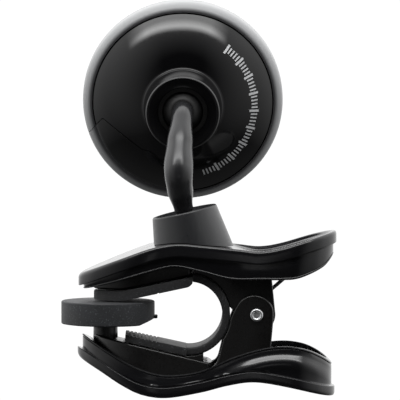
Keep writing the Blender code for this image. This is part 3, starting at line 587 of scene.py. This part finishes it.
def channel_section(half, wall, web):
    """The section of a frame channel: a web on the outer line and a wall round it."""
    inner = list(reversed(filled(wall + 0.6, half, web)))
    inner += on_outer([(wall + 0.6, web), (wall, web + 0.5)])
    edge = on_edge([(wall, 0.3), (wall - 0.2, 0.0), (0.25, 0.0), (0.0, 0.3)])
    rim = on_outer([(0.0, 0.45), (0.06, 0.2), (0.2, 0.05), (0.42, 0.0)])
    return inner + edge + rim + filled(0.42, half, 0.0)


def upper_line(x, above):
    """Height at x of the line this far above the upper pad's gripping face."""
    return PAD_GAP + above + max(0.0, x - LAND_END) * PAD_SLOPE


def frames():
    """The two moulded channels under the shells, each with a pair of ears that the rivet passes through."""
    under_shell = height_along(UPPER_EDGE)
    plan = (FRAME_NOSE, NOSE_ROUND, 18.0, 19.1, 6.2)
    channel = tray("upper_frame", plan, lambda x: upper_line(x, 2.4),
                   lambda x: under_shell(x) + (0.3 if x > 4 else -0.1), 1, channel_section(6.2, 1.5, 1.5))
    throat = arc(BAND_CENTRE, BAND_OUTER + 0.08, 84, 11, 16)
    lobe = arc(PIVOT, 4.2, 185, 370, 26)
    top = [(x, under_shell(x) + 0.3) for x in (36.6, 34, 31, 28, 25, 22, 19.2)]
    ears = [slab("ear", throat + lobe + top, low, low + 1.5, 0.3) for low in (-6.2, 4.7)]
    show(join(channel, *ears), FRAME, "dark_frame", "upper_jaw", "upper_jaw_frame")

    floor = height_along(LOWER_BOTTOM)
    web = height_along(WEB_LINE)
    plan = (FRAME_NOSE, NOSE_ROUND, 22.2, 23.4, 7.8)
    channel = tray("lower_frame", plan, web, lambda x: floor(x) + 1.85, -1, channel_section(7.8, 1.3, 1.5))
    crown = arc((32.7, PIVOT[1]), 4.4, 150, 20, 22)
    right = rounded([crown[-1] + (0,), (37.0, -2.4, 1.5), (36.8, -5.5, 1.5), (36.4, -9.6, 0),
                     (36.4, floor(36) + 1.8, 0)])
    beside = arc(BAND_CENTRE, BAND_OUTER + 0.12, -35, -6, 10)
    left = rounded([(23.0, floor(22) + 1.8, 0), (23.0, -14.4, 0), (24.5, -13.2, 1.0), beside[0] + (0.8,)])
    left += beside[1:] + rounded([beside[-1] + (0,), (27.95, -2.2, 1.0), crown[0] + (0,)])[1:]
    foot = [(x, floor(x) + 1.8) for x in (33, 29, 25.5)]
    ears = [slab("ear", left + crown[1:-1] + right + foot, low, low + 1.3, 0.35) for low in (-7.8, 6.5)]
    seat = arc(BAND_CENTRE, BAND_OUTER + 0.08, -96, -70, 10) + [(x, web(x) - 0.4) for x in (21.3, 17.2)]
    cradle = slab("cradle", seat, -7.7, 7.7, 0.12)
    show(join(channel, cradle, *ears), FRAME, "dark_frame", "lower_jaw", "lower_jaw_frame")


def pads():
    """The two rubber strips: a groove across the upper one and ribs across the front of the lower one."""
    corners = [(-3.15, PAD_GAP, 0.4), (LAND_END, PAD_GAP, 1.2), (18.1, upper_line(18.1, 0), 0.5),
               (18.9, upper_line(18.9, 0.6), 0.3), (19.1, upper_line(19.1, 2.1), 0.2), (LAND_END, 2.45, 1.0),
               (-3.15, 2.45, 0.4)]
    upper = trim_nose(slab("upper_strip", rounded(corners, 4, True), -PAD_HALF, PAD_HALF, 0.05))
    carve(upper, groove(11.3, upper_line(11.3, 0), 0.3, 0.16, 1))
    show(upper, STRIP_RUBBER, "rubber", "upper_jaw", "upper_pad")

    slope = -2.95 / 13.6
    corners = [(3.9, -7.1, 0.4), (17.53, -10.06, 0.1), (17.51, -11.84, 0.1), (3.9, -8.65, 0.3)]
    lower = trim_nose(slab("lower_strip", rounded(corners, 3, True), -PAD_HALF, PAD_HALF, 0.05))
    stations = [4.9 + 0.85 * i for i in range(8)]
    cuts = [groove(x, -7.1 + slope * (x - 3.9), 0.26, 0.2, -1) for x in stations]
    show(carve(lower, join(*cuts)), STRIP_RUBBER, "rubber", "lower_jaw", "lower_pad")


def groove(x, z, width, depth, inward):
    """A cutter for a groove across a pad whose face is at (x, z)."""
    corners = ((-width, -depth), (width, -depth), (width / 3, depth), (-width / 3, depth))
    return loft("groove", [[(x + along, y, z + inward * rise) for along, rise in corners] for y in (-9, 9)])


def trim_nose(strip):
    """Rounds a strip's nose to the frames' plan."""
    loop = plan_loop(FRAME_NOSE, NOSE_ROUND, TAIL_ROUND, 49.0, 7.7, 0.0)
    rings = [[(x, y, z) for x, y in loop] for z in (-30, 30)]
    return carve(strip, loft("nose", rings), "INTERSECT")


def throat():
    """The C-shaped rubber band, its section a rounded rectangle, with upright ends that meet the two pads."""
    corners = ((BAND_INNER, -BAND_HALF), (BAND_OUTER, -BAND_HALF), (BAND_OUTER, BAND_HALF),
               (BAND_INNER, BAND_HALF))
    section = rounded([(r, y, 0.45) for r, y in corners], 4, True)
    rings = []
    for i in range(61):
        ring = []
        for r, y in section:
            start = -math.acos((BAND_LOWER_END - BAND_CENTRE[0]) / r)
            end = math.acos((BAND_UPPER_END - BAND_CENTRE[0]) / r)
            angle = start + (end - start) * i / 60
            ring.append((BAND_CENTRE[0] + r * math.cos(angle), y, BAND_CENTRE[1] + r * math.sin(angle)))
        rings.append(ring)
    band = show(loft("throat_loop", rings), BAND_RUBBER, "rubber", None, "throat_band")
    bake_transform(band)


def rivet_and_spring():
    """The tubular rivet, and the spring coiled round it with one leg under each handle."""
    ring = arc((1.09, 8.2), 0.36, 170, 0, 14)
    end = rounded([(0, 8.2, 0), (0.7, 8.26, 0.2), ring[0] + (0,)], 5) + ring[1:] + [(1.45, 8.0), (0.9, 8.0)]
    rivet = revolve("rivet", end + [(r, -z) for r, z in reversed(end)], PIN_FRAME, 64)
    show(rivet, STEEL, "steel", "lower_jaw", "pivot_rivet")

    steps, turns, radius, half = 102, 4.25, 2.75, 2.7
    coil = []
    for i in range(steps + 1):
        angle = math.radians(-20) + turns * 2 * math.pi * i / steps
        coil.append(Vector((PIVOT[0] + radius * math.cos(angle), -half + 2 * half * i / steps,
                            PIVOT[1] + radius * math.sin(angle))))
    lower = [Vector((x, -half, z)) for x, z in ((44.0, -16.0), (38.0, -14.7), (37.2, -13.8), (36.0, -10.8))]
    upper = [Vector((x, half, z)) for x, z in ((36.4, 2.2), (39.2, 4.6), (43.6, 9.0), (46.2, 11.8))]
    path = lower + coil + upper
    spring = tube("spring", path, [0.42] * len(path), 12)
    show(spring, SPRING, "spring_steel", None, "torsion_spring")
    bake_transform(spring)


def swivel_pad():
    """The hollow rubber pad, cut away underneath towards the tail, and its ball stud on an oval foot."""
    profile = rounded([(0, 0, 0), (10.45, 0, 0.35), (10.45, -5.1, 0.3), (9.95, -5.1, 0.1), (9.95, -4.0, 0.1),
                       (3.7, -4.0, 0.2), (3.7, -0.8, 0.3), (0, -0.8, 0)], 5)
    pad = revolve("swivel_rubber", profile, IDENTITY, 128)
    wedge = slab("wedge", [(6.9, -6.2), (12, -6.2), (12, -3.2), (6.9, -5.15)], -12, 12, 0.01)
    carve(pad, wedge)
    outline = rounded([(9.8, -3.9, 0.1), (11.1, -3.9, 0.25), (11.1, -3.2, 0.25), (9.8, -3.2, 0.1)], 3, True)
    tab = slab("tab", outline, -1.6, 1.6, 0.2)
    show(join(pad, tab), RUBBER, "rubber", "swivel_pad", "swivel_pad")
    ball = arc((0, -3.6), 1.6, 90, -56, 20)
    neck = [(0.9, -5.7), (1.3, -5.85), (1.3, -7.4), (0, -7.4)]
    stud = revolve("ball_stud", ball + neck, IDENTITY, 48)
    turns = [2 * math.pi * i / 48 for i in range(48)]
    levels = [(2.45, -5.72), (2.62, -5.78), (2.7, -5.95), (2.75, -8.3)]
    rings = [[(-0.55 + half * math.cos(a), 2.5 * math.sin(a), z) for a in turns] for half, z in levels]
    join(stud, loft("post_foot", rings))
    show(stud, SATIN, "dark_frame", "lower_jaw", "pad_post")


def socket_boss():
    """The leaning cone, rounded at its rim, that holds the lower ball."""
    profile = rounded([(9.25, -7.4, 0), (7.3, 4.0, 0.45), (6.55, 4.0, 0.2), (4.5, 2.95, 0.25),
                       (4.5, 2.4, 0.1), (6.0, 2.4, 0.1), (6.0, -7.4, 0)], 5)
    cone = revolve("boss", profile, SOCKET_FRAME, 128)
    top = smooth_line(UPPER_TOP)
    below = [(x, z + 0.12) for x, z in top] + [(x, z - 22) for x, z in reversed(top)]
    carve(cone, loft("below", [[(x, y, z) for x, z in below] for y in (-15, 15)]))
    sleeve = revolve("sleeve", [(6.95, 0.0), (6.95, -5.2), (6.0, -5.2), (6.0, 0.0)], SOCKET_FRAME, 96)
    show(join(cone, sleeve), SATIN, "satin_black", "upper_jaw", "clip_socket")


# ---------------------------------------------------------------- stem

def bezier(p0, p1, p2, p3, count):
    """Points on a cubic curve, all but its last one."""
    points = []
    for i in range(count):
        t = i / count
        a, b, c, d = (1 - t) ** 3, 3 * t * (1 - t) ** 2, 3 * t**2 * (1 - t), t**3
        points.append(a * p0 + b * p1 + c * p2 + d * p3)
    return points


def stem_radius(distance):
    """The arm's radius at a distance along it from the lower ball's middle."""
    for (s0, r0), (s1, r1) in zip(STEM_RADII, STEM_RADII[1:]):
        if distance <= s1:
            t = (distance - s0) / (s1 - s0)
            return r0 + (r1 - r0) * t * t * (3 - 2 * t)
    return STEM_RADII[-1][1]


def stem():
    """The curved arm with its two balls, as one skin."""
    ahead = Vector((0, 1, 0))
    start, end = CLIP_BALL + LEAN * STEM_START, HEAD_BALL - ahead * STEM_END
    body = bezier(start, start + LEAN * 4.6 - ahead * 0.9, STEM_MIDDLE - STEM_LEAN * 2.6, STEM_MIDDLE, 28)
    body += bezier(STEM_MIDDLE, STEM_MIDDLE + STEM_LEAN * 4.1, end - ahead * 3.3, end, 44) + [end]
    path, radii = [], []
    for i in range(22):
        angle = math.pi * (0.02 + 0.83 * i / 21)
        path.append(CLIP_BALL - LEAN * CLIP_BALL_RADIUS * math.cos(angle))
        radii.append(CLIP_BALL_RADIUS * math.sin(angle))
    travelled = STEM_START
    for i, point in enumerate(body):
        travelled += (point - body[i - 1]).length if i else 0.0
        path.append(point)
        radii.append(stem_radius(travelled))
    for i in range(22):
        angle = math.pi * (0.16 + 0.82 * i / 21)
        path.append(HEAD_BALL - ahead * HEAD_BALL_RADIUS * math.cos(angle))
        radii.append(HEAD_BALL_RADIUS * math.sin(angle))
    show(tube("stem_skin", path, radii, 48), STEM, "satin_black", "stem", "stem_arm")


# ---------------------------------------------------------------- head

def dome(sunk, start_r, end_r, count):
    """(radius, z) points on the domed back, sunk below its surface."""
    sphere = DOME_RADIUS - sunk
    radii = [start_r + (end_r - start_r) * i / count for i in range(count + 1)]
    return [(r, DOME_CENTRE - math.sqrt(sphere**2 - r**2)) for r in radii]


def rim_curve(start_r):
    """Quarter ellipse from the seam out to the rim's widest line."""
    turns = [math.pi / 2 * i / 12 for i in range(13)]
    return [(start_r + (RIM_RADIUS - start_r) * math.sin(a), 12.3 - 2.6 * math.cos(a)) for a in turns]


def door_cutter(inner, half, low, high):
    """The sector that the door fills, with the thumb tab on its inner edge."""
    tab = arc((inner + 2.6, -1.8), 3.9, 140, 220, 14)
    line = [(40, half, 0), (inner + 0.1, half, 0.5)] + [(x, y, 0.6) for x, y in tab[:1]]
    line += [(x, y, 0) for x, y in tab[1:-1]] + [(x, y, 0.6) for x, y in tab[-1:]]
    line += [(inner + 0.1, -half, 0.5), (40, -half, 0)]
    outline = rounded(line, 4, True)
    return loft("door_sector", [[(x, y, z) for x, y in outline] for z in (low, high)], DOOR_FRAME)


def head_back():
    """The domed back with its socket collar, the sliding door in its gap, and the printed scale."""
    outer = [(18.7, 10.9), (20.2, 10.9)] + dome(0.0, 20.2, 9.05, 26)
    collar = rounded([(8.94, 2.9, 0.35), (8.35, -3.9, 0.12), (8.1, -4.3, 0.12), (7.75, -4.28, 0.2),
                      (5.6, -3.35, 0.3), (5.5, -2.7, 0.1), (6.9, -2.7, 0.1), (6.9, 6.0, 0.1), (8.1, 6.0, 0.1),
                      (8.1, 4.2, 0.2)], 5)
    housing = revolve("head_shell", outer + collar + dome(1.4, 8.1, 18.7, 14)[1:], HEAD_FRAME, 192)
    carve(housing, door_cutter(13.85, 12.0, 0, 30))
    soften(housing, 0.1)
    show(housing, GLOSS, "gloss_black", "head", "rear_housing")

    inner = dome(1.1, 11.5, 19.5, 10) + [(20.5, 10.9), (20.8, 12.0), (20.8, 13.25)]
    profile = [(RIM_RADIUS, 13.25)] + list(reversed(rim_curve(20.3))) + dome(0.0, 20.15, 11.5, 18) + inner
    door = revolve("door_skin", profile, HEAD_FRAME, 192)
    carve(door, door_cutter(14.0, 11.85, 0, 30), "INTERSECT")
    soften(door, 0.14)
    show(door, PAINTED_REFLECTION_RIM, "gloss_black", "battery_door", "battery_door")
    show(printed_scale(), PRINT, "white_plastic", "head")


def soften(obj, width):
    """Rounds a cut piece's sharp edges."""
    bevel = obj.modifiers.new("soften", "BEVEL")
    bevel.limit_method = "ANGLE"
    bevel.angle_limit = math.radians(55)
    bevel.width = width * MM
    bevel.segments = 2


def printed_scale():
    """An arc of plain marks along the right of the dome, every fifth one longer."""
    verts, faces = [], []
    count = 45
    for i in range(count):
        middle = math.radians(128 + 125 * i / (count - 1))
        low, high, half = (15.1, 17.2, 0.26) if i % 5 == 0 else (15.5, 16.9, 0.17)
        corners = []
        for sunk in (0.10, -0.02):
            for radius in (low, (low + high) / 2, high):
                z = DOME_CENTRE - math.sqrt((DOME_RADIUS - sunk) ** 2 - radius**2)
                for side in (-half, half):
                    angle = middle + side / radius
                    corners.append((radius * math.cos(angle), radius * math.sin(angle), z))
        base = len(verts)
        verts += corners
        bottom = [(0, 1, 3, 2), (2, 3, 5, 4)]
        top = [tuple(k + 6 for k in face) for face in bottom]
        walls = [(0, 1, 7, 6), (4, 5, 11, 10), (0, 2, 8, 6), (2, 4, 10, 8), (1, 3, 9, 7), (3, 5, 11, 9)]
        faces += [tuple(base + k for k in face) for face in bottom + top + walls]
    return shape_object("printed_scale", verts, faces, HEAD_FRAME)


def chord_outline(radius, chord):
    """A circle cut off below the chord, with rounded corners."""
    corner = 0.8
    start = math.degrees(math.asin(chord / radius))
    points = arc((0, 0), radius, start, 180 - start, 96)
    line = [(x, y, 0) for x, y in points]
    line[0], line[-1] = (*points[0], corner), (*points[-1], corner)
    return rounded(line, 4, True)


def head_front():
    """The rim and front plate with the lens, display, marks and button."""
    front = [(19.9, 18, 0), (21.9, 17.6, 1.2), (RIM_RADIUS, 15.6, 1.2), (RIM_RADIUS, 12.3, 0)]
    outer = [(0, 18), (19.9, 18)] + rounded(front, 8) + list(reversed(rim_curve(20.5)))[1:]
    bezel = revolve("rim_ring", outer + [(20.5, 9.8), (20.5, 15.5), (0, 15.5)], HEAD_FRAME, 192)
    seat = [[(x, y, z) for x, y in chord_outline(18.75, -9.65)] for z in (16.1, 19)]
    carve(bezel, loft("seat", seat, HEAD_FRAME))
    window = [[(x, y, z) for x, y in chord_outline(15.0, -8.3)] for z in (14, 17)]
    carve(bezel, loft("window", window, HEAD_FRAME))
    at_button = HEAD_FRAME @ Matrix.Translation((0, BUTTON_Y, 0))
    carve(bezel, revolve("button_hole", [(0, 20), (3.25, 20), (3.25, 14), (0, 14)], at_button, 64))
    carve(bezel, door_cutter(13.7, 11.97, 0, 13.4))
    show(bezel, PAINTED_REFLECTION_RIM, "gloss_black", "head", "front_bezel")

    lens = slab("lens", chord_outline(18.6, -9.5), 16.4, 17.7, 0.15, HEAD_FRAME, upright=False)
    show(lens, CLEAR, "clear_window", "head", "display_lens")
    corners = [(-12.5, -7.5, 0.4), (12.5, -7.5, 0.4), (12.5, 13.5, 0.4), (-12.5, 13.5, 0.4)]
    panel = slab("display_panel", rounded(corners, 4, True), 14.0, 15.2, 0.1, HEAD_FRAME, upright=False)
    show(panel, GLASS, "glass", "head", "lcd_panel")
    show(display_marks(), SEGMENT, "dark_frame", "head")
    cap = rounded([(0, 17.95, 0), (1.6, 18.1, 0.5), (2.55, 18.4, 0.3), (3.0, 18.0, 0.3), (3.0, 15.2, 0.1),
                   (3.7, 15.2, 0.1), (3.7, 14.85, 0.1), (0, 14.85, 0)], 5)
    button = revolve("button_cap", cap, at_button, 64)
    show(button, SATIN, "satin_black", "power_button", "power_button")
    show(power_mark(at_button), PRINT, "white_plastic", "power_button")


def display_marks():
    """Segments of an idle tuning display: a fan of ticks, a pointer and three blocks."""
    bars = []
    for i in range(21):
        low, half = (14.0, 0.26) if i % 5 == 0 else (15.0, 0.14)
        bars.append((low, 16.4, math.radians(150 - 6 * i), half))
    bars.append((6.2, 13.2, math.radians(90), 0.16))
    verts, faces = [], []
    fan_centre = Vector((0, -5.5))
    for low, high, angle, half in bars:
        along = Vector((math.cos(angle), math.sin(angle)))
        across = Vector((-math.sin(angle), math.cos(angle)))
        ends = ((low, -half), (high, -half), (high, half), (low, half))
        add_bar(verts, faces, [along * reach + across * side + fan_centre for reach, side in ends])
    for x in (-4.2, 0.0, 4.2):
        block = ((x - 1.1, -4.6), (x + 1.1, -4.6), (x + 1.1, -3.6), (x - 1.1, -3.6))
        add_bar(verts, faces, [Vector(corner) for corner in block])
    return shape_object("display_marks", verts, faces, HEAD_FRAME)


def add_bar(verts, faces, corners):
    """Adds a thin plate with these four corners, on the display's front."""
    base = len(verts)
    for z in (15.15, 15.24):
        verts += [(corner.x, corner.y, z) for corner in corners]
    sides = ((0, 1, 2, 3), (4, 5, 6, 7), (0, 1, 5, 4), (1, 2, 6, 5), (2, 3, 7, 6), (3, 0, 4, 7))
    faces += [tuple(base + k for k in side) for side in sides]


def power_mark(place):
    """The plain power sign: an open ring and a bar."""
    z = 18.02
    ring = [Vector((0.95 * math.cos(a), 0.95 * math.sin(a), z)) for a in
            (math.radians(130 + 280 * i / 24) for i in range(25))]
    mark = tube("power_ring", [place @ p for p in ring], [0.13] * 25, 8)
    bar = tube("power_bar", [place @ Vector((0, 0.35 + 0.9 * i / 3, z)) for i in range(4)], [0.13] * 4, 8)
    return join(mark, bar)


def finish_hidden_nodes():
    """Materials for the CAD nodes that stay as they are."""
    wanted = {
        FRAME: ["clip_ball_cup", "head_ball_cup", "swivel_pad_base", "tuner_chip"],
        BAND_RUBBER: ["zebra_strip"],
        STEEL: ["board_screw_1", "board_screw_2", "board_screw_3", "coin_cell", "tact_switch"],
        BRASS: ["piezo_sensor", "battery_contact_positive", "battery_contact_negative"],
        WHITE: ["light_guide", "backlight_led"],
        BOARD: ["circuit_board"],
    }
    for material, names in wanted.items():
        for name in names:
            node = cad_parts[name]
            node.data.materials.clear()
            node.data.materials.append(material)


# ---------------------------------------------------------------- camera, floor and light

def camera():
    """The view from 1.8 m away and 3.6 degrees above level."""
    away, picture_width = 1.8, 0.0894
    rise = math.radians(3.6)
    aim = Vector((0.02058, 0.0, 0.02253))
    data = bpy.data.cameras.new("camera")
    data.sensor_width = 36.0
    data.lens = data.sensor_width * away / picture_width
    data.clip_start = 0.05
    obj = bpy.data.objects.new("camera", data)
    obj.location = aim + Vector((0, -math.cos(rise), math.sin(rise))) * away
    obj.rotation_euler = (aim - obj.location).to_track_quat("-Z", "Y").to_euler()
    bpy.context.scene.collection.objects.link(obj)
    bpy.context.scene.camera = obj


def floor():
    """A plain white floor that lights nothing, so the object has no shadow under it."""
    half = 40.0
    mesh = bpy.data.meshes.new("floor")
    mesh.from_pydata([(-half, -half, -0.3), (half, -half, -0.3), (half, half, -0.3), (-half, half, -0.3)], [],
                     [(0, 1, 2, 3)])
    obj = bpy.data.objects.new("floor", mesh)
    bpy.context.scene.collection.objects.link(obj)
    material = bpy.data.materials.new("floor_white")
    material.use_nodes = True
    shader = material.node_tree.nodes["Principled BSDF"]
    shader.inputs["Base Color"].default_value = (0, 0, 0, 1)
    shader.inputs["Specular IOR Level"].default_value = 0.0
    shader.inputs["Emission Color"].default_value = (1, 1, 1, 1)
    shader.inputs["Emission Strength"].default_value = PAPER_WHITE
    mesh.materials.append(material)
    for kind in ("diffuse", "glossy", "transmission", "volume_scatter", "shadow"):
        setattr(obj, "visible_" + kind, False)


def area_light(name, location, turn, width, height, radiance):
    """A rectangular light that the camera doesn't see. Lengths are in metres."""
    data = bpy.data.lights.new(name, "AREA")
    data.shape = "RECTANGLE"
    data.size, data.size_y = width, height
    data.energy = radiance * math.pi * width * height
    obj = bpy.data.objects.new(name, data)
    obj.location = location
    obj.rotation_euler = turn
    obj.visible_camera = False
    bpy.context.scene.collection.objects.link(obj)


def top_light():
    """A large soft light above and behind, a metre away."""
    aim = Vector((0.018, 0.0, 0.03))
    rise = math.radians(75)
    towards = Vector((0, math.cos(rise), math.sin(rise)))
    area_light("top_light", aim + towards, (-towards).to_track_quat("-Z", "Y").to_euler(), 0.8, 0.4, 0.6)


def small_card(name, x, width, radiance):
    """A narrow card close in front of the jaws, seen only as a soft patch in their sides."""
    facing_back = (math.radians(90), 0, 0)
    area_light(name, Vector((x, -158, -15)) * MM, facing_back, width * MM, 45 * MM, radiance)


def surround():
    """White paper behind and above, dim walls beside the camera and an arched bar overhead.

    The camera itself sees plain white.
    """
    world = bpy.data.worlds.new("studio")
    bpy.context.scene.world = world
    world.use_nodes = True
    nodes = Nodes(world.node_tree, "Generated")
    split = nodes.add("ShaderNodeSeparateXYZ", Vector=nodes.place)
    x, y, z = (split.outputs[key] for key in "XYZ")
    paper = nodes.calculate("MULTIPLY", nodes.spread(y, -0.87, 0.05, 0.0, 1.15),
                            nodes.spread(z, -0.65, 0.55, 0.10, 1.8))
    walls = nodes.calculate("MULTIPLY", nodes.spread(nodes.calculate("ABSOLUTE", x), 0.3, 0.9, 0.0, 0.35),
                            nodes.spread(y, -0.9, -0.3, 1.0, 0.0))
    light = nodes.calculate("ADD", nodes.calculate("ADD", paper, walls), overhead_bar(nodes, x, y, z))
    choose = nodes.add("ShaderNodeMix")
    seen = nodes.add("ShaderNodeLightPath").outputs["Is Camera Ray"]
    for value, index in ((seen, 0), (light, 2), (PAPER_WHITE, 3)):
        nodes.put(value, choose.inputs[index])
    background = world.node_tree.nodes["Background"]
    nodes.put(choose.outputs[0], background.inputs["Strength"])
    nodes.put((1, 1, 1, 1), background.inputs["Color"])


def overhead_bar(nodes, x, y, z):
    """A bright bar above the camera that fades upwards and droops at both ends."""
    rise = nodes.calculate("ARCTAN2", z, nodes.calculate("MULTIPLY", y, -1.0))
    aside = nodes.calculate("ABSOLUTE", nodes.calculate("ARCSINE", nodes.calculate("ADD", x, 0.06)))
    droop = nodes.calculate("MULTIPLY", nodes.calculate("POWER", aside, 3.0), 0.42)
    height = nodes.calculate("ADD", rise, droop)
    lower = nodes.spread(height, math.radians(50.5), math.radians(56), 0.0, 9.6)
    upper = nodes.spread(height, math.radians(56), math.radians(63), 9.6, 3.1)
    top = nodes.spread(height, math.radians(68), math.radians(73), 1.0, 0.0)
    ends = nodes.spread(aside, 0.45, 0.72, 1.0, 0.0)
    bar = nodes.calculate("MULTIPLY", nodes.calculate("MINIMUM", lower, upper), top)
    return nodes.calculate("MULTIPLY", bar, ends)


def studio():
    """The surround, three area lights and colours shown as they are."""
    surround()
    top_light()
    small_card("clip_card", 33.2, 9.0, 0.65)
    small_card("nose_card", -2.5, 15.0, 0.34)
    bpy.context.scene.view_settings.view_transform = "Standard"


jaw_shells()
frames()
pads()
throat()
rivet_and_spring()
swivel_pad()
socket_boss()
stem()
head_back()
head_front()
finish_hidden_nodes()
camera()
floor()
studio()
